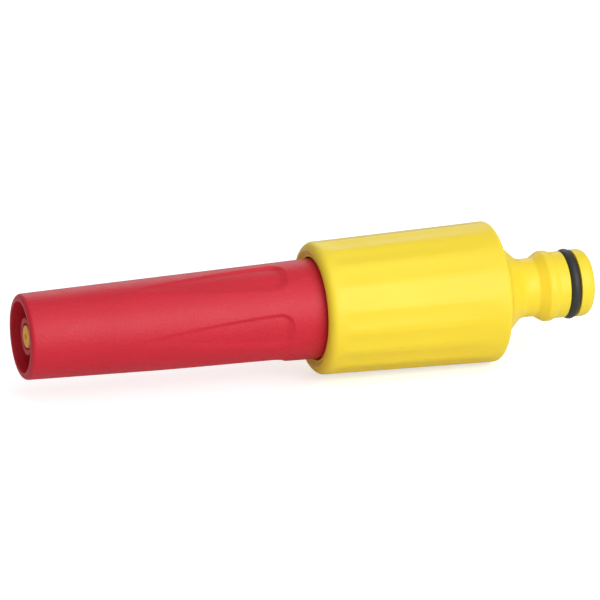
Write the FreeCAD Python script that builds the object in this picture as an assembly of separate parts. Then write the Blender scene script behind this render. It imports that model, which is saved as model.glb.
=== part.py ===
import FreeCAD, Part
import math
import os

os.makedirs("parts", exist_ok=True)

# Twist-adjusted hose spray nozzle. Lengths are millimetres.
# The axis runs along X: the outlet points to -X, the inlet spigot to +X, and +Z is up.
# The origin is on the axis, in the end face of the inlet spigot.
# Stations are distances along the axis from the outlet rim, so x = station - overall_length.
overall_length = 139.5

# Screw that moves the sleeve
lead = 8.0
thread_starts = 2
thread_clearance = 0.2
ridge_sunk = 0.3

# Small rounds that several pieces share
edge_round = 0.15
foot_round = 0.2
corner_round = 0.4
inside_round = 0.8

# Inlet spigot of the click-on hose system, at the rear end
neck_radius = 6.95
neck_start = 121.9
neck_fillet = 3.4
collar_start = 125.6
collar_crest_start = 127.9
collar_crest_end = 129.4
collar_end = 130.5
collar_radius = 8.4
collar_foot_round = 1.2
collar_crest_round = 1.0
collar_end_round = 0.5
land_radius = 7.9
groove_start = 133.05
groove_end = 135.75
groove_radius = 5.85
flange_radius = 8.0
flange_round = 2.2
inlet_bore_radius = 4.75
spigot_ring_section = 2.5
spigot_ring_middle = 134.4

# Fluted grip
grip_front = 70.7
grip_front_radius = 15.65
grip_rear = 115.1
grip_rear_radius = 16.7
grip_mouth_radius = 12.25
grip_inner_rear_radius = 13.4
grip_cavity_end = 109.0
lip_inner_round = 0.4
lip_outer_round = 2.0
rear_round = 1.2
dome_foot = 117.3
dome_foot_radius = 11.3
dome_round = 5.0
flute_count = 18
flute_depth = 0.3
flute_radius = 10.0
flute_start = 71.8
flute_end = 114.8
flute_run_out = 6.0
flute_bend_length_share = 0.35
flute_bend_depth_share = 0.45
flute_phase = 3.4

# Boss inside the dome, which holds the root of the stem
boss_start = 101.5
boss_radius = 9.0
boss_bore_radius = 7.0
boss_bore_end = 115.0
boss_foot_round = 1.5
cavity_round = 2.0

# Stem: a fixed hollow post with the outside thread, the side ports and the metering pin
pin_face = 1.3
pin_radius = 2.7
pin_round = 0.35
pin_dimple_radius = 0.8
pin_dimple_depth = 0.5
pin_root = 7.3
cone_end = 9.2
head_radius = 4.2
port_start = 13.5
port_end = 20.5
port_width = 3.2
port_count = 4
port_round = 0.8
barrel_start = 23.0
barrel_radius = 5.0
stem_groove_start = 27.0
stem_groove_end = 29.8
stem_groove_radius = 3.95
stem_ring_section = 1.25
stem_ring_clearance = 0.03
stem_bore_radius = 2.9
stem_bore_start = 12.5
stem_bore_round = 1.2
stem_bore_flare_start = 106.0
thread_start = 63.0
thread_end = 99.0
thread_core_radius = 5.6
thread_crest_radius = 6.6
thread_root_width = 2.0
thread_crest_width = 1.0
thread_lead_in = 1.0
stem_shoulder_start = 100.0
stem_shoulder_radius = 8.2
root_groove_start = 106.5
root_groove_end = 109.1
root_groove_radius = 5.4
root_ring_section = 1.7

# Turning sleeve
rim_radius = 10.05
rim_inner_round = 0.25
rim_outer_round = 1.1
sleeve_mouth_station = 70.0
sleeve_mouth_radius = 11.8
hood_radius = 8.35
hood_inner_radius = 8.0
hood_depth = 14.0
hood_foot_round = 0.5
web_thickness = 3.0
tube_face = 1.3
tube_radius = 4.4
tube_draft = 0.05
tube_flare_round = 1.0
tube_flare_start = 3.8
tube_flare_end = 6.2
tube_flare_radius = 6.5
tube_foot_radius = 6.7
throat_radius = 3.1
throat_end = 6.6
seat_pocket_end = 9.6
chamber_radius = 5.1
chamber_wall = 1.8
stop_bore_start = 62.0
stop_bore_clearance = 0.4
stop_bore_cone = 3.0
nut_start = 76.0
nut_lead_in = 0.5
nut_radius = 8.7
nut_thread_root_width = 2.8
nut_thread_crest_width = 1.8
nut_thread_margin = 1.6
shell_wall = 1.9
sleeve_end = 98.6
tail_flange_start = 90.2
tail_flange_radius = 12.2
rib_count = 5
rib_thickness = 1.4
rib_top_radius = 9.8
rib_end = 58.0
rib_sunk = 0.3
recess_count = 5
recess_depth = 0.45
recess_front = 21.5
recess_rear = 63.8
recess_rear_half_width = 4.6
recess_middle = 42.0
recess_middle_half_width = 3.1
recess_corner = 4.2
recess_nose_clearance = 0.02
recess_margin = 0.5
recess_phase = -7.0

# Rubber seat ring, carried behind the throat
seat_ring_radius = 5.0
seat_bevel_radius = 4.55
seat_gap = 0.05

# Split ring in the grip's mouth that stops the sleeve at the end of its travel
stop_ring_start = 77.9
stop_ring_end = 79.9
stop_ring_inner_radius = 12.0
stop_ring_outer_radius = 13.25
stop_ring_split = 3.0
stop_groove_radius = 13.3
stop_groove_play = 0.05

# No cut takes less than this volume away, in cubic millimetres
smallest_cut = 0.5

# Parting distance by which a cutting tool passes the surface that it cuts
overshoot = 1.0

axis_point = FreeCAD.Vector(0, 0, 0)
axis_direction = FreeCAD.Vector(1, 0, 0)


def at(station):
    return station - overall_length


def outline(corners):
    """A closed wire in the XY half plane through (station, radius[, corner radius]) points."""
    points = [FreeCAD.Vector(at(corner[0]), corner[1], 0) for corner in corners]
    radii = [corner[2] if len(corner) > 2 else 0 for corner in corners]
    entries = []
    exits = []
    bends = []
    for index, point in enumerate(points):
        back = points[index - 1].sub(point).normalize()
        ahead = points[(index + 1) % len(points)].sub(point).normalize()
        if not radii[index]:
            entries.append(point)
            exits.append(point)
            bends.append(None)
            continue
        half_angle = back.getAngle(ahead) / 2
        setback = radii[index] / math.tan(half_angle)
        bisector = back.add(ahead).normalize()
        middle = point.add(bisector.multiply(radii[index] * (1 / math.sin(half_angle) - 1)))
        entries.append(point.add(back.multiply(setback)))
        exits.append(point.add(ahead.multiply(setback)))
        bends.append(middle)
    edges = []
    for index in range(len(points)):
        if bends[index]:
            edges.append(Part.Arc(entries[index], bends[index], exits[index]).toShape())
        start = exits[index]
        end = entries[(index + 1) % len(points)]
        if start.distanceToPoint(end) > 1e-6:
            edges.append(Part.LineSegment(start, end).toShape())
    return Part.Wire(edges)


def turned(corners):
    """The solid that an outline makes when it is turned once round the axis."""
    face = Part.Face(outline(corners))
    return face.revolve(axis_point, axis_direction, 360)


def bar(start, end, radius, end_radius=None):
    """A plain round bar or cone on the axis between two stations."""
    if end_radius is None or end_radius == radius:
        return Part.makeCylinder(radius, end - start, FreeCAD.Vector(at(start), 0, 0), axis_direction)
    return Part.makeCone(radius, end_radius, end - start, FreeCAD.Vector(at(start), 0, 0), axis_direction)


def carved(body, cutters):
    """A body with each cutter taken out of it in turn; a cutter that removes nothing is an error."""
    for cutter in cutters:
        rest = body.cut(cutter)
        if body.Volume - rest.Volume < smallest_cut:
            raise ValueError("a cutter missed the body")
        body = rest
    return body


def spun(shape, angle):
    """A copy of a shape turned about the axis, in degrees."""
    copy = shape.copy()
    copy.rotate(axis_point, axis_direction, angle)
    return copy


def thread_ridge(start, end, root_radius, crest_radius, root_width, crest_width):
    """One start of a right-hand trapezoidal ridge, outside or inside, sunk a little into its wall."""
    sunk_radius = root_radius + math.copysign(ridge_sunk, root_radius - crest_radius)
    helix = Part.makeHelix(lead, end - start, min(root_radius, crest_radius))
    section = Part.makePolygon([
        FreeCAD.Vector(sunk_radius, 0, -root_width / 2),
        FreeCAD.Vector(root_radius, 0, -root_width / 2),
        FreeCAD.Vector(crest_radius, 0, -crest_width / 2),
        FreeCAD.Vector(crest_radius, 0, crest_width / 2),
        FreeCAD.Vector(root_radius, 0, root_width / 2),
        FreeCAD.Vector(sunk_radius, 0, root_width / 2),
        FreeCAD.Vector(sunk_radius, 0, -root_width / 2),
    ])
    ridge = Part.Wire(helix).makePipeShell([section], True, True)
    ridge.rotate(axis_point, FreeCAD.Vector(0, 1, 0), 90)
    # Turned back by the same angle as the screw advances, so every piece shares one helix.
    ridge.rotate(axis_point, axis_direction, 360 * at(start) / lead)
    ridge.translate(FreeCAD.Vector(at(start), 0, 0))
    return ridge


def joined(body, additions):
    """A body with each addition fused on in turn; one that adds nothing is an error."""
    for addition in additions:
        whole = body.fuse(addition)
        if whole.Volume - body.Volume < smallest_cut or len(whole.Solids) != 1:
            raise ValueError("an addition did not join the body")
        body = whole
    return body


def grip_radius_at(station):
    share = (station - grip_front) / (grip_rear - grip_front)
    return grip_front_radius + share * (grip_rear_radius - grip_front_radius)


def sleeve_radius_at(station):
    share = min(station / sleeve_mouth_station, 1.0)
    return rim_radius + share * (sleeve_mouth_radius - rim_radius)


def make_flute_cutter():
    """A long spindle lying on the grip: its middle cuts full depth and its ends run out."""
    middle = flute_radius
    length = flute_end - flute_start
    slope = math.degrees(math.atan2(grip_rear_radius - grip_front_radius, grip_rear - grip_front))
    bend_length = flute_run_out * flute_bend_length_share
    bend_height = middle - flute_depth * flute_bend_depth_share
    bend_in = FreeCAD.Vector(bend_length, 0, bend_height)
    bend_out = FreeCAD.Vector(length - bend_length, 0, bend_height)
    profile = [
        Part.Arc(
            FreeCAD.Vector(0, 0, middle - flute_depth),
            bend_in,
            FreeCAD.Vector(flute_run_out, 0, middle),
        ).toShape(),
        Part.LineSegment(
            FreeCAD.Vector(flute_run_out, 0, middle),
            FreeCAD.Vector(length - flute_run_out, 0, middle),
        ).toShape(),
        Part.Arc(
            FreeCAD.Vector(length - flute_run_out, 0, middle),
            bend_out,
            FreeCAD.Vector(length, 0, middle - flute_depth),
        ).toShape(),
        Part.LineSegment(
            FreeCAD.Vector(length, 0, middle - flute_depth),
            FreeCAD.Vector(length, 0, 0),
        ).toShape(),
        Part.LineSegment(FreeCAD.Vector(length, 0, 0), FreeCAD.Vector(0, 0, 0)).toShape(),
        Part.LineSegment(
            FreeCAD.Vector(0, 0, 0),
            FreeCAD.Vector(0, 0, middle - flute_depth),
        ).toShape(),
    ]
    spindle = Part.Face(Part.Wire(profile)).revolve(axis_point, axis_direction, 360)
    spindle.rotate(axis_point, FreeCAD.Vector(0, 1, 0), -slope)
    start_radius = grip_radius_at(flute_start)
    spindle.translate(FreeCAD.Vector(at(flute_start), 0, start_radius - flute_depth + middle))
    return spindle


def make_grip_body():
    """Fluted grip, dome, neck and inlet spigot: one moulding."""
    shell = turned([
        (grip_front, grip_mouth_radius, lip_inner_round),
        (grip_front, grip_front_radius, lip_outer_round),
        (grip_rear, grip_rear_radius, rear_round),
        (dome_foot, dome_foot_radius, dome_round),
        (neck_start, neck_radius, neck_fillet),
        (collar_start, neck_radius, collar_foot_round),
        (collar_crest_start, collar_radius, collar_crest_round),
        (collar_crest_end, collar_radius, collar_crest_round),
        (collar_end, land_radius, collar_end_round),
        (groove_start, land_radius, edge_round),
        (groove_start, groove_radius, foot_round),
        (groove_end, groove_radius, foot_round),
        (groove_end, flange_radius, edge_round),
        (overall_length, flange_radius, flange_round),
        (overall_length, inlet_bore_radius),
        (boss_bore_end, inlet_bore_radius),
        (boss_bore_end, boss_bore_radius),
        (boss_start, boss_bore_radius, corner_round),
        (boss_start, boss_radius, corner_round),
        (grip_cavity_end, boss_radius, boss_foot_round),
        (grip_cavity_end, grip_inner_rear_radius, cavity_round),
    ])
    groove = bar(stop_ring_start - stop_groove_play, stop_ring_end + stop_groove_play, stop_groove_radius)
    shell = carved(shell, [groove])
    cutter = make_flute_cutter()
    cutters = [
        spun(cutter, 90 - flute_phase + index * 360 / flute_count)
        for index in range(flute_count)
    ]
    return carved(shell, cutters)


def make_valve_stem():
    """Hollow stem: metering pin, seal cone, four side ports, barrel, thread and root."""
    post = turned([
        (pin_face, 0),
        (pin_face, pin_radius, pin_round),
        (pin_root, pin_radius),
        (cone_end, head_radius, corner_round),
        (barrel_start, head_radius, corner_round),
        (barrel_start, barrel_radius, corner_round),
        (stem_groove_start, barrel_radius, edge_round),
        (stem_groove_start, stem_groove_radius, edge_round),
        (stem_groove_end, stem_groove_radius, edge_round),
        (stem_groove_end, barrel_radius, edge_round),
        (thread_start - 2 * thread_lead_in, barrel_radius, corner_round),
        (thread_start - thread_lead_in, thread_core_radius),
        (stem_shoulder_start, thread_core_radius, corner_round),
        (stem_shoulder_start, stem_shoulder_radius, corner_round),
        (boss_start, stem_shoulder_radius),
        (boss_start, boss_bore_radius),
        (root_groove_start, boss_bore_radius),
        (root_groove_start, root_groove_radius, foot_round),
        (root_groove_end, root_groove_radius, foot_round),
        (root_groove_end, boss_bore_radius),
        (boss_bore_end, boss_bore_radius),
        (boss_bore_end, inlet_bore_radius),
        (stem_bore_flare_start, stem_bore_radius),
        (stem_bore_start, stem_bore_radius, stem_bore_round),
        (stem_bore_start, 0),
    ])
    post = carved(post, [bar(pin_face - overshoot, pin_face + pin_dimple_depth, pin_dimple_radius)])
    port = Part.makeBox(port_end - port_start, port_width, head_radius * 2)
    port.translate(FreeCAD.Vector(at(port_start), -port_width / 2, 0))
    port = port.makeFillet(port_round, [edge for edge in port.Edges if abs(edge.tangentAt(0).z) > 0.9])
    ports = [spun(port, 45 + index * 360 / port_count) for index in range(port_count)]
    post = carved(post, ports)
    ridge = thread_ridge(
        thread_start, thread_end, thread_core_radius, thread_crest_radius,
        thread_root_width, thread_crest_width,
    )
    return joined(post, [spun(ridge, index * 360 / thread_starts) for index in range(thread_starts)])


def make_recess_cutter():
    """A shallow drop-shaped grip recess, round at the rear and running out to the front."""
    middle_station = FreeCAD.Vector(at(recess_middle), recess_middle_half_width, 0)
    rear_start = FreeCAD.Vector(at(recess_rear - recess_corner), recess_rear_half_width, 0)
    nose = FreeCAD.Vector(at(recess_front), 0, 0)
    turn = recess_corner * (1 - math.sqrt(0.5))
    corner_middle = FreeCAD.Vector(at(recess_rear - turn), recess_rear_half_width - turn, 0)
    rear_end = FreeCAD.Vector(at(recess_rear), recess_rear_half_width - recess_corner, 0)

    def other_side(point):
        return FreeCAD.Vector(point.x, -point.y, 0)

    edges = [
        Part.Arc(nose, middle_station, rear_start).toShape(),
        Part.Arc(rear_start, corner_middle, rear_end).toShape(),
        Part.LineSegment(rear_end, other_side(rear_end)).toShape(),
        Part.Arc(other_side(rear_end), other_side(corner_middle), other_side(rear_start)).toShape(),
        Part.Arc(other_side(rear_start), other_side(middle_station), nose).toShape(),
    ]
    drop = Part.Face(Part.Wire(edges)).extrude(FreeCAD.Vector(0, 0, sleeve_mouth_radius + overshoot))
    floor = bar(
        recess_front - recess_margin, recess_rear + recess_margin,
        sleeve_radius_at(recess_front) + recess_nose_clearance,
        sleeve_radius_at(recess_rear) - recess_depth,
    )
    return drop.cut(floor)


def make_adjusting_sleeve():
    """Turning sleeve: hood, nozzle tube with throat, seal chamber and the nut at its tail."""
    hood_floor = hood_depth + web_thickness
    chamber_tube_radius = chamber_radius + chamber_wall
    stop_bore_radius = thread_crest_radius + stop_bore_clearance
    nut_bore_radius = thread_crest_radius + thread_clearance
    body = turned([
        (0, hood_radius, rim_inner_round),
        (0, rim_radius, rim_outer_round),
        (sleeve_mouth_station, sleeve_mouth_radius),
        (tail_flange_start, sleeve_mouth_radius),
        (tail_flange_start, tail_flange_radius, edge_round),
        (sleeve_end, tail_flange_radius, foot_round),
        (sleeve_end, sleeve_mouth_radius - shell_wall, foot_round),
        (hood_floor, sleeve_radius_at(hood_floor) - shell_wall, inside_round),
        (hood_floor, chamber_tube_radius, inside_round),
        (stop_bore_start - 2 * stop_bore_cone, chamber_tube_radius),
        (stop_bore_start - stop_bore_cone, nut_radius),
        (sleeve_end, nut_radius, foot_round),
        (sleeve_end, nut_bore_radius, corner_round),
        (nut_start, nut_bore_radius),
        (nut_start - nut_lead_in, stop_bore_radius),
        (stop_bore_start, stop_bore_radius),
        (stop_bore_start - stop_bore_cone, chamber_radius),
        (throat_end, chamber_radius),
        (throat_end, throat_radius),
        (tube_face, throat_radius, foot_round),
        (tube_face, tube_radius, foot_round),
        (tube_flare_start, tube_radius + tube_draft, tube_flare_round),
        (tube_flare_end, tube_flare_radius, inside_round),
        (hood_depth, tube_foot_radius, hood_foot_round),
        (hood_depth, hood_inner_radius, hood_foot_round),
    ])
    recess = make_recess_cutter()
    body = carved(body, [
        spun(recess, 90 - recess_phase + index * 360 / recess_count)
        for index in range(recess_count)
    ])
    rib_foot = chamber_tube_radius - rib_sunk
    rib = Part.makeBox(rib_end - hood_floor + overshoot, rib_thickness, rib_top_radius - rib_foot)
    rib.translate(FreeCAD.Vector(at(hood_floor - overshoot), -rib_thickness / 2, rib_foot))
    body = joined(body, [spun(rib, index * 360 / rib_count) for index in range(rib_count)])
    ridge = thread_ridge(
        nut_start + nut_thread_margin, sleeve_end - nut_thread_margin,
        nut_bore_radius, thread_core_radius + thread_clearance,
        nut_thread_root_width, nut_thread_crest_width,
    )
    # The sleeve's ridges lie half a pitch on from the stem's, in the gaps between them.
    half_pitch = 180 / thread_starts
    return joined(body, [
        spun(ridge, half_pitch + index * 360 / thread_starts)
        for index in range(thread_starts)
    ])


def make_seat_ring():
    """Rubber seat behind the throat: the stem's cone closes on its bevelled bore."""
    return turned([
        (throat_end + seat_gap, throat_radius),
        (throat_end + seat_gap, seat_ring_radius, foot_round),
        (seat_pocket_end, seat_ring_radius, foot_round),
        (seat_pocket_end, seat_bevel_radius),
        (pin_root + seat_gap, throat_radius),
    ])


def make_round_ring(station, inner_radius, section):
    """A rubber O-ring standing in its groove."""
    ring = Part.makeTorus(inner_radius + section / 2, section / 2, axis_point, axis_direction)
    ring.translate(FreeCAD.Vector(at(station), 0, 0))
    return ring


def make_stop_ring():
    """Split snap ring in the groove just inside the grip's mouth."""
    ring = bar(stop_ring_start, stop_ring_end, stop_ring_outer_radius)
    bore = bar(stop_ring_start - overshoot, stop_ring_end + overshoot, stop_ring_inner_radius)
    gap = Part.makeBox(
        stop_ring_end - stop_ring_start + 2 * overshoot,
        stop_ring_split,
        stop_ring_outer_radius + overshoot,
    )
    gap.translate(FreeCAD.Vector(at(stop_ring_start - overshoot), -stop_ring_split / 2, 0))
    return carved(ring, [bore, gap])


pieces = {
    "grip_body": make_grip_body(),
    "valve_stem": make_valve_stem(),
    "adjusting_sleeve": make_adjusting_sleeve(),
    "seat_ring": make_seat_ring(),
    "stop_ring": make_stop_ring(),
    "spigot_o_ring": make_round_ring(spigot_ring_middle, groove_radius, spigot_ring_section),
    "stem_o_ring": make_round_ring(
        (stem_groove_start + stem_groove_end) / 2,
        chamber_radius - stem_ring_clearance - stem_ring_section,
        stem_ring_section,
    ),
    "root_o_ring": make_round_ring(
        (root_groove_start + root_groove_end) / 2,
        boss_bore_radius - root_ring_section,
        root_ring_section,
    ),
}

for name, shape in pieces.items():
    shape.exportStep("parts/" + name + ".step")
    print(name, len(shape.Solids), "solid(s)", round(shape.Volume / 1000, 2), "cm3", shape.isValid())
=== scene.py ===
import math

import bmesh
import bpy
from mathutils import Matrix, Vector


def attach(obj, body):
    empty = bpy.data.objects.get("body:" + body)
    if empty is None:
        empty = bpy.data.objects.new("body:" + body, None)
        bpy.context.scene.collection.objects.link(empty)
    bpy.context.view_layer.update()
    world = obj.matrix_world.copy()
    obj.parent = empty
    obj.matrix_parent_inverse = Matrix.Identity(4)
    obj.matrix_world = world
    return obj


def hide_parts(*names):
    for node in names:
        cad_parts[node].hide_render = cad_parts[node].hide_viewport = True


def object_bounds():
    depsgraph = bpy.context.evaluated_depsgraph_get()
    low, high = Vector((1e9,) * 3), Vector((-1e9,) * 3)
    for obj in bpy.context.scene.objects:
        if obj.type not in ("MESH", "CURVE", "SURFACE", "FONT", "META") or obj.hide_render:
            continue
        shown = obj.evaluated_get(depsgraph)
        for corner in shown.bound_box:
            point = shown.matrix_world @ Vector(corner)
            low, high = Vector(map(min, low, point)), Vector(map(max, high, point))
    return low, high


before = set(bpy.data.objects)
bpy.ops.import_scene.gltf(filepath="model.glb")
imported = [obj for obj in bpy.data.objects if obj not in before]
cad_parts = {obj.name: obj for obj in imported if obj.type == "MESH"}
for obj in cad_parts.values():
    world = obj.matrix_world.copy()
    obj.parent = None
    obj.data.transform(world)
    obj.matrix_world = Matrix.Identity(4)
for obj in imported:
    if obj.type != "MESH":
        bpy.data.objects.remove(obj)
cadLow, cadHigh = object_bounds()
mm = 0.001
print("frame loaded, CAD box", [round(v, 4) for v in (*cadLow, *cadHigh)])


# Places along the nozzle are given in millimetres from the outlet rim.
def at(station):
    return cadLow.x + station * mm


def smoothStep(value):
    value = max(0.0, min(1.0, value))
    return value * value * (3 - 2 * value)


# Shader helpers
def addNode(tree, kind, place, **settings):
    node = tree.nodes.new(kind)
    node.location = place
    for name, value in settings.items():
        setattr(node, name, value)
    return node


def newGroup(name, inputs, outputs):
    tree = bpy.data.node_groups.new(name, "ShaderNodeTree")
    for label, kind, value in inputs:
        socket = tree.interface.new_socket(label, in_out="INPUT", socket_type=kind)
        if value is not None:
            socket.default_value = value
    for label, kind in outputs:
        tree.interface.new_socket(label, in_out="OUTPUT", socket_type=kind)
    entry = addNode(tree, "NodeGroupInput", (-900, 0))
    leave = addNode(tree, "NodeGroupOutput", (900, 0))
    return tree, entry, leave


def mathNode(tree, operation, place, first, second=None, third=None):
    node = addNode(tree, "ShaderNodeMath", place, operation=operation)
    for index, value in enumerate((first, second, third)):
        if value is None:
            continue
        if isinstance(value, (int, float)):
            node.inputs[index].default_value = value
        else:
            tree.links.new(value, node.inputs[index])
    return node.outputs[0]


def rampNode(tree, place, value, low, high):
    node = addNode(tree, "ShaderNodeMapRange", place)
    node.interpolation_type = "SMOOTHSTEP"
    tree.links.new(value, node.inputs["Value"])
    node.inputs["From Min"].default_value = low
    node.inputs["From Max"].default_value = high
    return node.outputs["Result"]


fineDetail = 2.0  # octaves of the fine noises
waveDetail = 3.0


def noiseNode(tree, place, coordinates, scale, detail=fineDetail):
    node = addNode(tree, "ShaderNodeTexNoise", place)
    tree.links.new(coordinates, node.inputs["Vector"])
    if isinstance(scale, float):
        node.inputs["Scale"].default_value = scale
    else:
        tree.links.new(scale, node.inputs["Scale"])
    node.inputs["Detail"].default_value = detail
    return node.outputs["Fac"]


# Satin skin of a moulded part: a fine grain from the mould over a soft, wide waviness.
def makeMouldGrain():
    tree, entry, leave = newGroup(
        "mouldGrain",
        [
            ("Coordinates", "NodeSocketVector", None),
            ("Grain Scale", "NodeSocketFloat", 2600.0),
            ("Wave Scale", "NodeSocketFloat", 160.0),
            ("Wave Share", "NodeSocketFloat", 0.5),
        ],
        [("Height", "NodeSocketFloat"), ("Grain", "NodeSocketFloat"), ("Wave", "NodeSocketFloat")],
    )
    coordinates = entry.outputs["Coordinates"]
    grain = noiseNode(tree, (-600, 200), coordinates, entry.outputs["Grain Scale"])
    wave = noiseNode(
        tree, (-600, -200), coordinates, entry.outputs["Wave Scale"], waveDetail,
    )
    waved = mathNode(tree, "MULTIPLY", (-300, -200), wave, entry.outputs["Wave Share"])
    height = mathNode(tree, "ADD", (0, 0), grain, waved)
    for label, socket in (("Height", height), ("Grain", grain), ("Wave", wave)):
        tree.links.new(socket, leave.inputs[label])
    return tree


wearLook = {
    "turnedFrom": 0.995, "turnedFull": 0.90,  # how far the bevelled normal leans off the face
    "patchScale": 420.0, "patchDetail": 4.0, "patchFrom": 0.42, "patchFull": 0.62,
    "bevelSamples": 6,
}


# Rubbed edges: where the surface turns within the radius, broken up by a noise.
def makeEdgeWear():
    look = wearLook
    tree, entry, leave = newGroup(
        "edgeWear",
        [
            ("Coordinates", "NodeSocketVector", None),
            ("Radius", "NodeSocketFloat", 0.0006),
            ("Amount", "NodeSocketFloat", 1.0),
        ],
        [("Wear", "NodeSocketFloat")],
    )
    bevel = addNode(tree, "ShaderNodeBevel", (-600, 200), samples=look["bevelSamples"])
    tree.links.new(entry.outputs["Radius"], bevel.inputs["Radius"])
    geometry = addNode(tree, "ShaderNodeNewGeometry", (-600, 0))
    facing = addNode(tree, "ShaderNodeVectorMath", (-400, 100), operation="DOT_PRODUCT")
    tree.links.new(bevel.outputs["Normal"], facing.inputs[0])
    tree.links.new(geometry.outputs["Normal"], facing.inputs[1])
    turned = rampNode(
        tree, (-200, 100), facing.outputs["Value"], look["turnedFrom"], look["turnedFull"],
    )
    patches = noiseNode(
        tree, (-600, -250), entry.outputs["Coordinates"], look["patchScale"], look["patchDetail"],
    )
    broken = rampNode(tree, (-300, -250), patches, look["patchFrom"], look["patchFull"])
    worn = mathNode(tree, "MULTIPLY", (100, 0), turned, broken)
    amount = mathNode(tree, "MULTIPLY", (300, 0), worn, entry.outputs["Amount"])
    tree.links.new(amount, leave.inputs["Wear"])
    return tree


scuffLook = {
    "hairScale": (260.0, 1900.0, 1900.0), "hairLean": (0.0, 0.12, 0.2), "hairDetail": 3.0,
    "hairFrom": 0.62, "hairFull": 0.74,
    "speckScale": 380.0, "speckFrom": 0.14, "speckFull": 0.05,
    "placeScale": 75.0, "placeFrom": 0.46, "placeFull": 0.66,
}


# Handling marks: short hairline scuffs along the nozzle and a few pale specks.
def makeScuffs():
    look = scuffLook
    tree, entry, leave = newGroup(
        "scuffs",
        [("Coordinates", "NodeSocketVector", None), ("Amount", "NodeSocketFloat", 1.0)],
        [("Scuff", "NodeSocketFloat"), ("Speck", "NodeSocketFloat")],
    )
    stretch = addNode(tree, "ShaderNodeMapping", (-700, 250))
    stretch.inputs["Scale"].default_value = look["hairScale"]
    stretch.inputs["Rotation"].default_value = look["hairLean"]
    tree.links.new(entry.outputs["Coordinates"], stretch.inputs["Vector"])
    hairs = noiseNode(tree, (-500, 250), stretch.outputs["Vector"], 1.0, look["hairDetail"])
    hairMask = rampNode(tree, (-300, 250), hairs, look["hairFrom"], look["hairFull"])
    specks = addNode(tree, "ShaderNodeTexVoronoi", (-500, -100))
    specks.inputs["Scale"].default_value = look["speckScale"]
    tree.links.new(entry.outputs["Coordinates"], specks.inputs["Vector"])
    speckMask = rampNode(
        tree, (-300, -100), specks.outputs["Distance"], look["speckFrom"], look["speckFull"],
    )
    where = noiseNode(tree, (-500, -400), entry.outputs["Coordinates"], look["placeScale"])
    whereMask = rampNode(tree, (-300, -400), where, look["placeFrom"], look["placeFull"])
    for label, mask, height in (("Scuff", hairMask, 250), ("Speck", speckMask, -100)):
        local = mathNode(tree, "MULTIPLY", (0, height), mask, whereMask)
        amount = mathNode(tree, "MULTIPLY", (300, height), local, entry.outputs["Amount"])
        tree.links.new(amount, leave.inputs[label])
    return tree


mouldGrain = makeMouldGrain()
edgeWear = makeEdgeWear()
scuffs = makeScuffs()
print("shader groups made")


def groupNode(tree, group, place, **values):
    node = addNode(tree, "ShaderNodeGroup", place, node_tree=group)
    for label, value in values.items():
        node.inputs[label.replace("_", " ")].default_value = value
    return node


# The colour mix node's share, first and second colour are its inputs 0, 6 and 7.
def mixColour(tree, place, share, first, second):
    node = addNode(tree, "ShaderNodeMix", place, data_type="RGBA")
    tree.links.new(share, node.inputs[0])
    for index, value in ((6, first), (7, second)):
        if isinstance(value, bpy.types.NodeSocket):
            tree.links.new(value, node.inputs[index])
        else:
            node.inputs[index].default_value = (*value, 1.0)
    return node.outputs[2]


driftSpan = (0.3, 0.7)  # part of the noise over which one colour turns into the other


# One recipe for all finishes: a slow colour drift, grain in the gloss and in the relief,
# scuffs and rubbed edges.
def makeFinish(name, look):
    material = bpy.data.materials.new(name)
    material.use_nodes = True
    tree = material.node_tree
    shader = tree.nodes["Principled BSDF"]
    coordinates = addNode(tree, "ShaderNodeTexCoord", (-1500, 0)).outputs["Object"]
    grain = groupNode(
        tree, mouldGrain, (-1200, 200), Grain_Scale=look["grainScale"],
        Wave_Scale=look["waveScale"], Wave_Share=look["waveShare"],
    )
    wear = groupNode(
        tree, edgeWear, (-1200, -100), Radius=look["wearRadius"], Amount=look["wear"],
    )
    marks = groupNode(tree, scuffs, (-1200, -350), Amount=look["scuff"])
    for node in (grain, wear, marks):
        tree.links.new(coordinates, node.inputs["Coordinates"])
    drift = noiseNode(tree, (-1200, 500), coordinates, look["driftScale"])
    drifted = rampNode(tree, (-1000, 500), drift, *driftSpan)
    colour = mixColour(tree, (-800, 400), drifted, look["colour"], look["colourDrift"])
    speckled = mathNode(
        tree, "MULTIPLY", (-1000, 250), grain.outputs["Grain"], look["speckle"],
    )
    colour = mixColour(tree, (-600, 350), speckled, colour, look["speckleColour"])
    marked = mathNode(
        tree, "MAXIMUM", (-900, -350), marks.outputs["Scuff"], marks.outputs["Speck"],
    )
    rubbed = mathNode(tree, "MAXIMUM", (-700, -200), marked, wear.outputs["Wear"])
    colour = mixColour(tree, (-400, 300), rubbed, colour, look["wornColour"])
    tree.links.new(colour, shader.inputs["Base Color"])
    rough = mathNode(
        tree, "MULTIPLY_ADD", (-600, 50),
        grain.outputs["Wave"], look["roughDrift"], look["roughness"],
    )
    rougher = mathNode(tree, "MULTIPLY_ADD", (-400, 50), rubbed, look["wornRoughness"], rough)
    tree.links.new(rougher, shader.inputs["Roughness"])
    bump = addNode(tree, "ShaderNodeBump", (-250, -200))
    bump.inputs["Strength"].default_value = look["bump"]
    bump.inputs["Distance"].default_value = look["bumpDepth"]
    tree.links.new(grain.outputs["Height"], bump.inputs["Height"])
    tree.links.new(bump.outputs["Normal"], shader.inputs["Normal"])
    shader.inputs["IOR"].default_value = look["ior"]
    shader.inputs["Subsurface Weight"].default_value = look["softness"]
    shader.inputs["Subsurface Scale"].default_value = look["softDepth"]
    shader.inputs["Subsurface Radius"].default_value = look["softRadius"]
    return material


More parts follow.
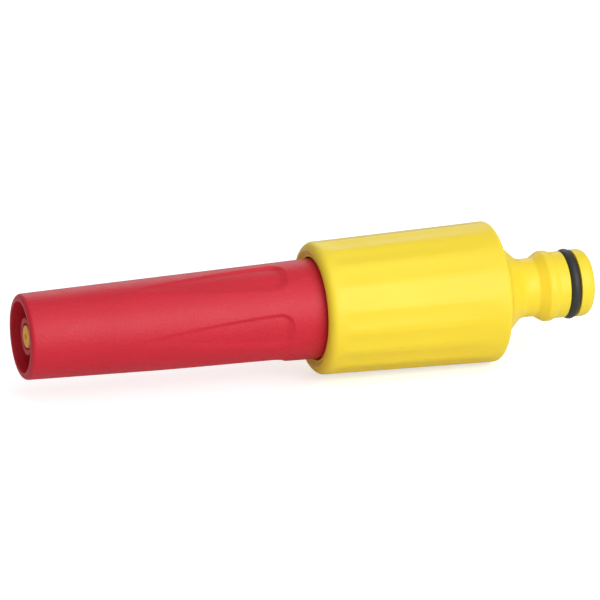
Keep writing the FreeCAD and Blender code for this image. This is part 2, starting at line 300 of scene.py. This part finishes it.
# Colours are linear. Scales are per metre, and depths and radii are in metres.
redPlastic = makeFinish("satinRedPlastic", {
    "colour": (0.59, 0.010, 0.028), "colourDrift": (0.63, 0.012, 0.031), "driftScale": 45.0,
    "speckle": 0.10, "speckleColour": (0.78, 0.09, 0.11),
    "grainScale": 2100.0, "waveScale": 180.0, "waveShare": 0.6,
    "roughness": 0.38, "roughDrift": 0.14, "bump": 0.9, "bumpDepth": 0.00009,
    "wearRadius": 0.0005, "wear": 0.25, "scuff": 0.16,
    "wornColour": (0.74, 0.12, 0.14), "wornRoughness": 0.12,
    "ior": 1.4, "softness": 0.0, "softDepth": 0.001, "softRadius": (1.0, 0.2, 0.1),
})
yellowPlastic = makeFinish("satinYellowPlastic", {
    "colour": (0.93, 0.69, 0.03), "colourDrift": (0.94, 0.72, 0.036), "driftScale": 40.0,
    "speckle": 0.06, "speckleColour": (0.96, 0.84, 0.22),
    "grainScale": 2300.0, "waveScale": 150.0, "waveShare": 0.6,
    "roughness": 0.34, "roughDrift": 0.12, "bump": 0.25, "bumpDepth": 0.00005,
    "wearRadius": 0.0005, "wear": 0.2, "scuff": 0.10,
    "wornColour": (0.97, 0.86, 0.3), "wornRoughness": 0.1,
    "ior": 1.4, "softness": 0.15, "softDepth": 0.002, "softRadius": (1.0, 0.7, 0.1),
})
# The stem is the same yellow plastic as the grip. Its orange colour is painted red bounce light
# from inside the red hood, not its own colour.
stemPaintedBounce = makeFinish("satinStemPaintedBounce", {
    "colour": (0.97, 0.48, 0.02), "colourDrift": (0.97, 0.52, 0.025), "driftScale": 90.0,
    "speckle": 0.06, "speckleColour": (0.96, 0.8, 0.25),
    "grainScale": 2600.0, "waveScale": 220.0, "waveShare": 0.5,
    "roughness": 0.33, "roughDrift": 0.1, "bump": 0.2, "bumpDepth": 0.00004,
    "wearRadius": 0.0003, "wear": 0.15, "scuff": 0.08,
    "wornColour": (0.97, 0.82, 0.3), "wornRoughness": 0.1,
    "ior": 1.4, "softness": 0.0, "softDepth": 0.001, "softRadius": (1.0, 0.6, 0.1),
})
ringPlastic = makeFinish("naturalRingPlastic", {
    "colour": (0.76, 0.74, 0.67), "colourDrift": (0.8, 0.78, 0.7), "driftScale": 60.0,
    "speckle": 0.05, "speckleColour": (0.9, 0.9, 0.85),
    "grainScale": 2400.0, "waveScale": 200.0, "waveShare": 0.5,
    "roughness": 0.42, "roughDrift": 0.1, "bump": 0.2, "bumpDepth": 0.00004,
    "wearRadius": 0.0003, "wear": 0.1, "scuff": 0.1,
    "wornColour": (0.9, 0.9, 0.86), "wornRoughness": 0.1,
    "ior": 1.48, "softness": 0.0, "softDepth": 0.001, "softRadius": (1.0, 1.0, 1.0),
})
sealRubber = makeFinish("blackSealRubber", {
    "colour": (0.016, 0.017, 0.019), "colourDrift": (0.022, 0.023, 0.025), "driftScale": 120.0,
    "speckle": 0.10, "speckleColour": (0.05, 0.05, 0.055),
    "grainScale": 3200.0, "waveScale": 400.0, "waveShare": 0.5,
    "roughness": 0.42, "roughDrift": 0.16, "bump": 0.4, "bumpDepth": 0.00004,
    "wearRadius": 0.0002, "wear": 0.1, "scuff": 0.25,
    "wornColour": (0.09, 0.09, 0.09), "wornRoughness": 0.2,
    "ior": 1.52, "softness": 0.0, "softDepth": 0.001, "softRadius": (1.0, 1.0, 1.0),
})
print("materials made")


arcCuts = 8  # straight pieces in each rounded corner
sharpAngle = 40  # degrees; edges that turn more than this stay sharp in the shading
mergeDistance = 1e-7


# Points of an outline. Each corner is (station, radius, round, cuts): the round is its arc's
# radius, and cuts divides the straight stretch after it.
def outlinePoints(corners):
    places = [Vector((at(corner[0]), corner[1] * mm)) for corner in corners]
    points = []
    for index, place in enumerate(places):
        rounding = corners[index][2] * mm if len(corners[index]) > 2 else 0
        cuts = corners[index][3] if len(corners[index]) > 3 else 1
        back = (places[index - 1] - place).normalized()
        ahead = (places[(index + 1) % len(places)] - place).normalized()
        leave = place
        if rounding:
            half = back.angle(ahead) / 2
            centre = place + (back + ahead).normalized() * (rounding / math.sin(half))
            start = place + back * (rounding / math.tan(half)) - centre
            sweep = math.pi - 2 * half
            turn = math.copysign(sweep, start.x * ahead.y - start.y * ahead.x)
            for cut in range(arcCuts + 1):
                angle = turn * cut / arcCuts
                points.append(centre + Vector((
                    start.x * math.cos(angle) - start.y * math.sin(angle),
                    start.x * math.sin(angle) + start.y * math.cos(angle),
                )))
            leave = points[-1].copy()
        else:
            points.append(place)
        corner = corners[(index + 1) % len(corners)]
        following = places[(index + 1) % len(places)]
        if len(corner) > 2 and corner[2]:
            beyond = places[(index + 2) % len(places)]
            angle = (leave - following).angle(beyond - following)
            reach = corner[2] * mm / math.tan(angle / 2)
            following = following + (leave - following).normalized() * reach
        for cut in range(1, cuts):
            points.append(leave.lerp(following, cut / cuts))
    return points


# Spins the closed outline in a bmesh once round the axis of the nozzle.
def spinRound(bm, steps):
    bmesh.ops.spin(
        bm, geom=bm.verts[:] + bm.edges[:], cent=(0, 0, 0), axis=(1, 0, 0),
        angle=math.tau, steps=steps, use_merge=True, use_duplicate=False,
    )
    bmesh.ops.remove_doubles(bm, verts=bm.verts, dist=mergeDistance)
    bmesh.ops.recalc_face_normals(bm, faces=bm.faces)


def spinOutline(corners, steps):
    bm = bmesh.new()
    verts = [bm.verts.new((point.x, 0, point.y)) for point in outlinePoints(corners)]
    for index, vert in enumerate(verts):
        bm.edges.new((verts[index - 1], vert))
    spinRound(bm, steps)
    return bm


def finishPiece(bm, name, material):
    mesh = bpy.data.meshes.new(name)
    bm.to_mesh(mesh)
    bm.free()
    mesh.materials.append(material)
    mesh.shade_smooth()
    mesh.set_sharp_from_angle(angle=math.radians(sharpAngle))
    piece = bpy.data.objects.new(name, mesh)
    bpy.context.scene.collection.objects.link(piece)
    return piece


# Angle of a point round the axis, from the meridian that faces -Y towards the top.
def angleRound(co):
    return math.atan2(co.z, -co.y)


# Angle from the nearest of the places that repeat round the axis. The phase is in degrees.
def nearestRepeat(angle, phase, count):
    pitch = math.tau / count
    return (angle - math.radians(phase) + pitch / 2) % pitch - pitch / 2


skinReach = 0.5  # mm under the outer radius that still counts as the outer skin


# Moves the outer skin between two stations inwards by the depth that depthAt gives for a
# station, a radius and an angle round the axis.
def pressSkin(bm, start, end, skinRadius, depthAt):
    for vert in bm.verts:
        station = (vert.co.x - cadLow.x) / mm
        radius = math.hypot(vert.co.y, vert.co.z) / mm
        if not start < station < end or radius < skinRadius(station) - skinReach:
            continue
        scale = 1 - depthAt(station, radius, angleRound(vert.co)) / radius
        vert.co.y *= scale
        vert.co.z *= scale


# Lengths are in millimetres and angles in degrees. Stations count from the outlet rim.
grip = {
    "front": 70.7, "frontRadius": 15.65, "rear": 115.1, "rearRadius": 16.7,
    "mouthRadius": 12.25, "lipInnerRound": 0.4, "lipOuterRound": 2.0, "rearRound": 1.2,
    "domeFoot": 117.3, "domeFootRadius": 11.3, "domeRound": 5.0,
    "neckStart": 121.9, "neckRadius": 6.95, "neckFillet": 3.4,
    "collarStart": 125.6, "collarFootRound": 1.2,
    "collarCrestStart": 127.9, "collarCrestEnd": 129.4, "collarCrestRound": 1.0,
    "collarRadius": 8.4, "collarEnd": 130.5, "collarEndRound": 0.5, "landRadius": 7.9,
    "sealGrooveStart": 133.05, "sealGrooveEnd": 135.75, "sealGrooveRadius": 5.85,
    "sealGrooveEdge": 0.15, "sealGrooveFoot": 0.2,
    "flangeRadius": 8.0, "flangeRound": 2.2, "end": 139.5,
    "inletRadius": 4.75, "inletRound": 0.3,
    "innerRearRadius": 13.4, "cavityEnd": 109.0, "cavityRound": 2.0,
    "bossStart": 101.5, "bossRadius": 9.0, "bossRound": 0.4, "bossFootRound": 1.5,
    "bossBoreRadius": 7.0, "bossBoreEnd": 115.0,
    "ringGrooveRadius": 13.3, "ringGrooveStart": 77.85, "ringGrooveEnd": 79.95,
    "fluteCount": 18, "flutePhase": 3.4, "fluteDepth": 0.3, "fluteRearShare": 0.5,
    "fluteHalfWidth": 2.35, "fluteCurve": 1.5,
    "fluteStart": 72.8, "fluteEnd": 114.2, "fluteRunIn": 3.5, "fluteRunOut": 8.0,
    "steps": 252, "runCuts": 12, "middleCuts": 16, "rearCuts": 3,
}


def gripRadius(station):
    share = (station - grip["front"]) / (grip["rear"] - grip["front"])
    return grip["frontRadius"] + share * (grip["rearRadius"] - grip["frontRadius"])


# The bore behind the mouth widens evenly to the end of the cavity.
def boreRadius(station):
    share = (station - grip["front"]) / (grip["cavityEnd"] - grip["front"])
    return grip["mouthRadius"] + share * (grip["innerRearRadius"] - grip["mouthRadius"])


# Depth of the shallow scallops: deepest near the mouth, fading towards the rear.
def fluteDepthAt(station, radius, angle):
    g = grip
    across = nearestRepeat(angle, g["flutePhase"], g["fluteCount"]) * radius
    share = 1 - (across / g["fluteHalfWidth"]) ** 2
    if share <= 0:
        return 0.0
    runIn = smoothStep((station - g["fluteStart"]) / g["fluteRunIn"])
    runOut = smoothStep((g["fluteEnd"] - station) / g["fluteRunOut"])
    along = (station - g["fluteStart"]) / (g["fluteEnd"] - g["fluteStart"])
    fade = 1 - along * (1 - g["fluteRearShare"])
    return g["fluteDepth"] * fade * share ** g["fluteCurve"] * runIn * runOut


# Fluted grip, dome, neck and inlet spigot as one moulding.
def makeGripShell():
    g = grip
    runInEnd = g["fluteStart"] + g["fluteRunIn"]
    runOutStart = g["fluteEnd"] - g["fluteRunOut"]
    bm = spinOutline([
        (g["front"], g["mouthRadius"], g["lipInnerRound"]),
        (g["front"], g["frontRadius"], g["lipOuterRound"]),
        (g["fluteStart"], gripRadius(g["fluteStart"]), 0, g["runCuts"]),
        (runInEnd, gripRadius(runInEnd), 0, g["middleCuts"]),
        (runOutStart, gripRadius(runOutStart), 0, g["runCuts"]),
        (g["rear"], g["rearRadius"], g["rearRound"], g["rearCuts"]),
        (g["domeFoot"], g["domeFootRadius"], g["domeRound"], g["rearCuts"]),
        (g["neckStart"], g["neckRadius"], g["neckFillet"], g["rearCuts"]),
        (g["collarStart"], g["neckRadius"], g["collarFootRound"]),
        (g["collarCrestStart"], g["collarRadius"], g["collarCrestRound"]),
        (g["collarCrestEnd"], g["collarRadius"], g["collarCrestRound"]),
        (g["collarEnd"], g["landRadius"], g["collarEndRound"]),
        (g["sealGrooveStart"], g["landRadius"], g["sealGrooveEdge"]),
        (g["sealGrooveStart"], g["sealGrooveRadius"], g["sealGrooveFoot"]),
        (g["sealGrooveEnd"], g["sealGrooveRadius"], g["sealGrooveFoot"]),
        (g["sealGrooveEnd"], g["flangeRadius"], g["sealGrooveEdge"]),
        (g["end"], g["flangeRadius"], g["flangeRound"]),
        (g["end"], g["inletRadius"], g["inletRound"]),
        (g["bossBoreEnd"], g["inletRadius"]),
        (g["bossBoreEnd"], g["bossBoreRadius"]),
        (g["bossStart"], g["bossBoreRadius"], g["bossRound"]),
        (g["bossStart"], g["bossRadius"], g["bossRound"]),
        (g["cavityEnd"], g["bossRadius"], g["bossFootRound"]),
        (g["cavityEnd"], g["innerRearRadius"], g["cavityRound"]),
        (g["ringGrooveEnd"], boreRadius(g["ringGrooveEnd"])),
        (g["ringGrooveEnd"], g["ringGrooveRadius"]),
        (g["ringGrooveStart"], g["ringGrooveRadius"]),
        (g["ringGrooveStart"], boreRadius(g["ringGrooveStart"])),
    ], g["steps"])
    pressSkin(bm, g["fluteStart"], g["fluteEnd"], gripRadius, fluteDepthAt)
    return finishPiece(bm, "gripShell", yellowPlastic)


gripShell = makeGripShell()
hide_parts("grip_body")
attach(gripShell, "handle")
print("grip made")


sleeve = {
    "rimRadius": 10.05, "rimInnerRound": 0.25, "rimOuterRound": 1.1,
    "mouthStation": 70.0, "mouthRadius": 11.8,
    "tailFlange": 90.2, "tailFlangeRadius": 12.2, "tailFlangeEdge": 0.15,
    "end": 98.6, "endRound": 0.3, "wall": 1.9,
    "hoodRadius": 8.35, "hoodInnerRadius": 8.0, "hoodDepth": 14.0, "hoodFootRound": 0.5,
    "web": 3.0, "webRound": 0.8,
    "tubeFace": 1.3, "tubeRadius": 4.4, "tubeInnerRound": 0.2, "tubeOuterRound": 0.25,
    "tubeDraft": 0.05, "flareStart": 3.8, "flareStartRound": 1.0,
    "flareEnd": 6.2, "flareRadius": 6.5, "flareEndRound": 0.8, "tubeFootRadius": 6.7,
    "throatRadius": 3.1, "throatEnd": 6.6,
    "chamberRadius": 5.1, "chamberTubeRadius": 6.9, "chamberTubeEnd": 56.0,
    "stopBoreStart": 62.0, "stopBoreRadius": 7.0, "stopBoreCone": 3.0,
    "nutTubeStart": 59.0, "nutStart": 76.0, "nutRadius": 8.7, "nutRound": 0.2,
    "nutBoreRadius": 6.8, "nutBoreRound": 0.4, "nutChamfer": 0.5,
    "recessCount": 5, "recessPhase": -7.0, "recessDepth": 0.6,
    "recessFront": 21.5, "recessRear": 63.8, "recessMiddle": 42.0,
    "recessMiddleHalf": 3.1, "recessRearHalf": 4.6, "recessCorner": 4.2,
    "recessWall": 0.8, "recessSoftWall": 2.6,
    "recessFine": 58.5, "recessMargin": 0.3,  # closer rings from here to just behind the rear wall
    "steps": 360, "frontCuts": 6, "recessCuts": 40, "fineCuts": 24, "tailCuts": 4,
}


def sleeveRadius(station):
    share = min(station / sleeve["mouthStation"], 1)
    return sleeve["rimRadius"] + share * (sleeve["mouthRadius"] - sleeve["rimRadius"])


# Half width of a recess: a shallow arc through the nose, the middle and the start of the
# rear corner.
def recessHalfWidth(station):
    s = sleeve
    length = s["recessRear"] - s["recessCorner"] - s["recessFront"]
    middle = s["recessMiddle"] - s["recessFront"]
    bulge = s["recessMiddleHalf"] - s["recessRearHalf"] * middle / length
    along = station - s["recessFront"]
    curve = bulge * along * (length - along) / (middle * (length - middle))
    return s["recessRearHalf"] * min(along / length, 1) + (curve if along < length else 0)


# Distance inside a corner that is rounded off between two edges.
def edgeDistance(side, back, corner):
    if side < corner and back < corner:
        return corner - math.hypot(corner - side, corner - back)
    return min(side, back)


# Depth of the drop-shaped recesses: crisp along the top and the rear, soft underneath.
def recessDepthAt(station, radius, angle):
    s = sleeve
    across = nearestRepeat(angle, s["recessPhase"], s["recessCount"]) * radius
    half = recessHalfWidth(station)
    crisp = edgeDistance(half - across, s["recessRear"] - station, s["recessCorner"])
    soft = edgeDistance(half + across, s["recessRear"] - station, s["recessCorner"])
    if crisp <= 0 or soft <= 0:
        return 0.0
    deep = (station - s["recessFront"]) / (s["recessRear"] - s["recessFront"])
    walls = smoothStep(crisp / s["recessWall"]) * smoothStep(soft / s["recessSoftWall"])
    return s["recessDepth"] * deep * walls


# Turning sleeve: hood, nozzle tube with its throat, seal chamber and the bore of the nut.
def makeTurningSleeve():
    s = sleeve
    webEnd = s["hoodDepth"] + s["web"]
    recessEnd = s["recessRear"] + s["recessMargin"]
    bm = spinOutline([
        (0, s["hoodRadius"], s["rimInnerRound"]),
        (0, s["rimRadius"], s["rimOuterRound"], s["frontCuts"]),
        (s["recessFront"], sleeveRadius(s["recessFront"]), 0, s["recessCuts"]),
        (s["recessFine"], sleeveRadius(s["recessFine"]), 0, s["fineCuts"]),
        (recessEnd, sleeveRadius(recessEnd), 0, s["tailCuts"]),
        (s["mouthStation"], s["mouthRadius"], 0, s["tailCuts"]),
        (s["tailFlange"], s["mouthRadius"]),
        (s["tailFlange"], s["tailFlangeRadius"], s["tailFlangeEdge"]),
        (s["end"], s["tailFlangeRadius"], s["endRound"]),
        (s["end"], s["mouthRadius"] - s["wall"], s["endRound"]),
        (webEnd, sleeveRadius(webEnd) - s["wall"], s["webRound"]),
        (webEnd, s["chamberTubeRadius"], s["webRound"]),
        (s["chamberTubeEnd"], s["chamberTubeRadius"]),
        (s["nutTubeStart"], s["nutRadius"]),
        (s["end"], s["nutRadius"], s["nutRound"]),
        (s["end"], s["nutBoreRadius"], s["nutBoreRound"]),
        (s["nutStart"], s["nutBoreRadius"]),
        (s["nutStart"] - s["nutChamfer"], s["stopBoreRadius"]),
        (s["stopBoreStart"], s["stopBoreRadius"]),
        (s["stopBoreStart"] - s["stopBoreCone"], s["chamberRadius"]),
        (s["throatEnd"], s["chamberRadius"]),
        (s["throatEnd"], s["throatRadius"]),
        (s["tubeFace"], s["throatRadius"], s["tubeInnerRound"]),
        (s["tubeFace"], s["tubeRadius"], s["tubeOuterRound"]),
        (s["flareStart"], s["tubeRadius"] + s["tubeDraft"], s["flareStartRound"]),
        (s["flareEnd"], s["flareRadius"], s["flareEndRound"]),
        (s["hoodDepth"], s["tubeFootRadius"], s["hoodFootRound"]),
        (s["hoodDepth"], s["hoodInnerRadius"], s["hoodFootRound"]),
    ], s["steps"])
    pressSkin(bm, s["recessFront"], s["recessRear"], sleeveRadius, recessDepthAt)
    return finishPiece(bm, "turningSleeve", redPlastic)


turningSleeve = makeTurningSleeve()
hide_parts("adjusting_sleeve")
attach(turningSleeve, "sleeve")
print("sleeve made")


seal = {"middle": 134.4, "ringRadius": 7.1, "section": 2.5, "sectionCuts": 28, "steps": 192}


# O-ring of the spigot: a round section spun about the axis.
def makeSpigotSeal():
    s = seal
    bm = bmesh.new()
    bmesh.ops.create_circle(
        bm, cap_ends=False, radius=s["section"] / 2 * mm, segments=s["sectionCuts"],
    )
    turned = Matrix.Rotation(math.pi / 2, 3, "X")
    bmesh.ops.rotate(bm, verts=bm.verts, cent=(0, 0, 0), matrix=turned)
    bmesh.ops.translate(bm, verts=bm.verts, vec=(at(s["middle"]), 0, s["ringRadius"] * mm))
    spinRound(bm, s["steps"])
    return finishPiece(bm, "spigotSeal", sealRubber)


spigotSeal = makeSpigotSeal()
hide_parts("spigot_o_ring")
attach(spigotSeal, "handle")
print("spigot seal made")


# The valve stem gets the orange finish, whose colour is painted red bounce light.
cadFinishes = {
    "valve_stem": stemPaintedBounce,
    "seat_ring": sealRubber,
    "stop_ring": ringPlastic,
    "stem_o_ring": sealRubber,
    "root_o_ring": sealRubber,
}
for nodeName, material in cadFinishes.items():
    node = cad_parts[nodeName]
    node.data.materials.clear()
    node.data.materials.append(material)
print("CAD nodes painted")


stage = {
    "floorSize": 40.0, "floorColour": (0.8, 0.8, 0.8), "floorGlow": 0.6,
    "floorRoughness": 0.9, "floorSpecular": 0.1, "worldStrength": 0.34,
    "azimuth": -17.95, "elevation": 17.55, "distance": 1.597,
    "lens": 408.5, "sensorWidth": 36.0, "clipEnd": 100.0,
    "aim": (-0.0695, 0.0, 0.0), "aimRight": 1.81, "aimDown": 2.1,  # the last two in millimetres
    "lights": [  # name, place, size, power
        ("keyLight", (0.3, -0.9, 0.34), 0.85, 6.9),
        ("fillLight", (0.1, -0.5, 0.85), 1.2, 3.9),
        ("backLight", (0.1, 0.85, 0.45), 0.6, 1.6),
    ],
}
white = (1, 1, 1, 1)


def cameraAxes(azimuth, elevation):
    a, e = math.radians(azimuth), math.radians(elevation)
    back = Vector((math.sin(a) * math.cos(e), -math.cos(a) * math.cos(e), math.sin(e)))
    right = Vector((0, 0, 1)).cross(back).normalized()
    return back, right, back.cross(right)


def makeFloor():
    bm = bmesh.new()
    bmesh.ops.create_grid(bm, x_segments=1, y_segments=1, size=stage["floorSize"] / 2)
    bmesh.ops.translate(bm, verts=bm.verts, vec=(0, 0, cadLow.z))
    material = bpy.data.materials.new("paleFloor")
    material.use_nodes = True
    shader = material.node_tree.nodes["Principled BSDF"]
    shader.inputs["Base Color"].default_value = (*stage["floorColour"], 1.0)
    shader.inputs["Roughness"].default_value = stage["floorRoughness"]
    shader.inputs["Specular IOR Level"].default_value = stage["floorSpecular"]
    shader.inputs["Emission Color"].default_value = white
    tree = material.node_tree
    seen = addNode(tree, "ShaderNodeLightPath", (-600, -300)).outputs["Is Camera Ray"]
    glow = mathNode(tree, "MULTIPLY", (-300, -300), seen, stage["floorGlow"])
    tree.links.new(glow, shader.inputs["Emission Strength"])
    mesh = bpy.data.meshes.new("floor")
    bm.to_mesh(mesh)
    bm.free()
    mesh.materials.append(material)
    floor = bpy.data.objects.new("floor", mesh)
    bpy.context.scene.collection.objects.link(floor)


def addSoftLight(name, place, size, power, target):
    light = bpy.data.lights.new(name, "AREA")
    light.shape = "SQUARE"
    light.size = size
    light.energy = power
    lamp = bpy.data.objects.new(name, light)
    lamp.location = place
    lamp.rotation_mode = "QUATERNION"
    lamp.rotation_quaternion = (Vector(place) - target).to_track_quat("Z", "Y")
    bpy.context.scene.collection.objects.link(lamp)


def addCamera():
    back, right, up = cameraAxes(stage["azimuth"], stage["elevation"])
    camera = bpy.data.objects.new("camera", bpy.data.cameras.new("camera"))
    camera.data.lens = stage["lens"]
    camera.data.sensor_width = stage["sensorWidth"]
    camera.data.clip_end = stage["clipEnd"]
    aim = Vector(stage["aim"]) - right * stage["aimRight"] * mm + up * stage["aimDown"] * mm
    camera.location = aim + back * stage["distance"]
    camera.rotation_mode = "QUATERNION"
    camera.rotation_quaternion = back.to_track_quat("Z", "Y")
    bpy.context.scene.collection.objects.link(camera)
    bpy.context.scene.camera = camera


def makeStage():
    makeFloor()
    world = bpy.data.worlds.new("studio")
    bpy.context.scene.world = world
    world.use_nodes = True
    background = world.node_tree.nodes["Background"]
    background.inputs["Color"].default_value = white
    background.inputs["Strength"].default_value = stage["worldStrength"]
    middle = (cadLow + cadHigh) / 2
    for name, place, size, power in stage["lights"]:
        addSoftLight(name, place, size, power, middle)
    addCamera()
    bpy.context.scene.view_settings.view_transform = "Standard"


makeStage()
print("stage made")
